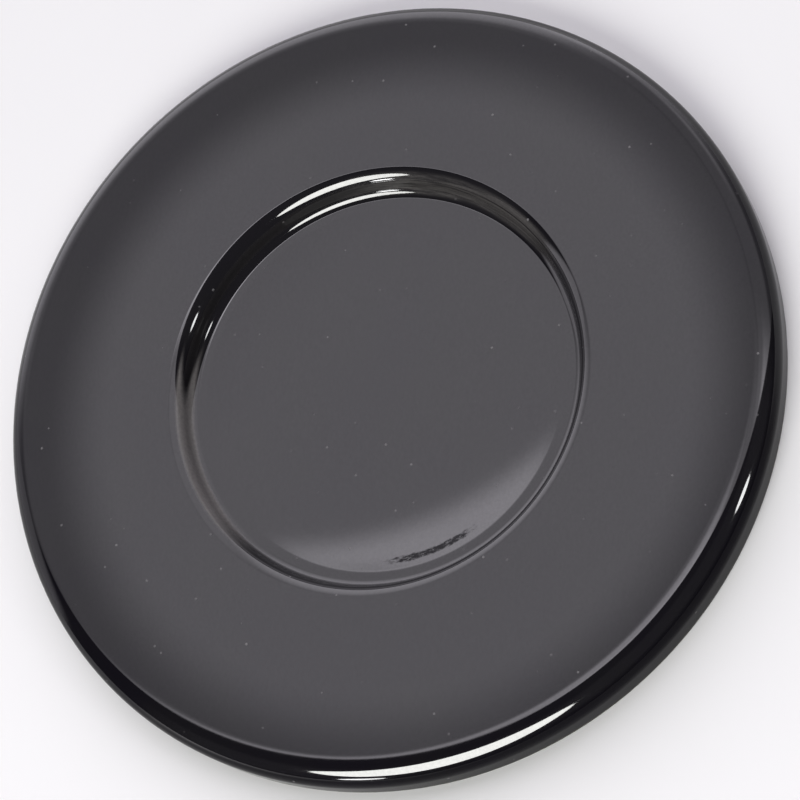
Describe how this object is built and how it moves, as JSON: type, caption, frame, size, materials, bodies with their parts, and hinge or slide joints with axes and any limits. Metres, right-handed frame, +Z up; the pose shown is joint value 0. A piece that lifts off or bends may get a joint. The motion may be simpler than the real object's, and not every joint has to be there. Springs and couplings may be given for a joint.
{
  "type": "gas burner cap",
  "caption": "Round enamelled steel cap for a gas hob burner: flat flange, round recess in the middle and a rim rolled down into a short skirt. It lies on the burner head and spreads the flame.",
  "frame": {"origin": "on the cap's axis, in the plane that the rim's cut edge stands on", "axes": "+Z up along the cap's axis, out of the recess; the cap is round, so X and Y are free"},
  "size_m": [0.1, 0.1, 0.0056],
  "materials": {
    "enamel": "gloss black vitreous enamel"
  },
  "bodies": {
    "root": {"burner_cap": "enamel"}
  },
  "joints": []
}
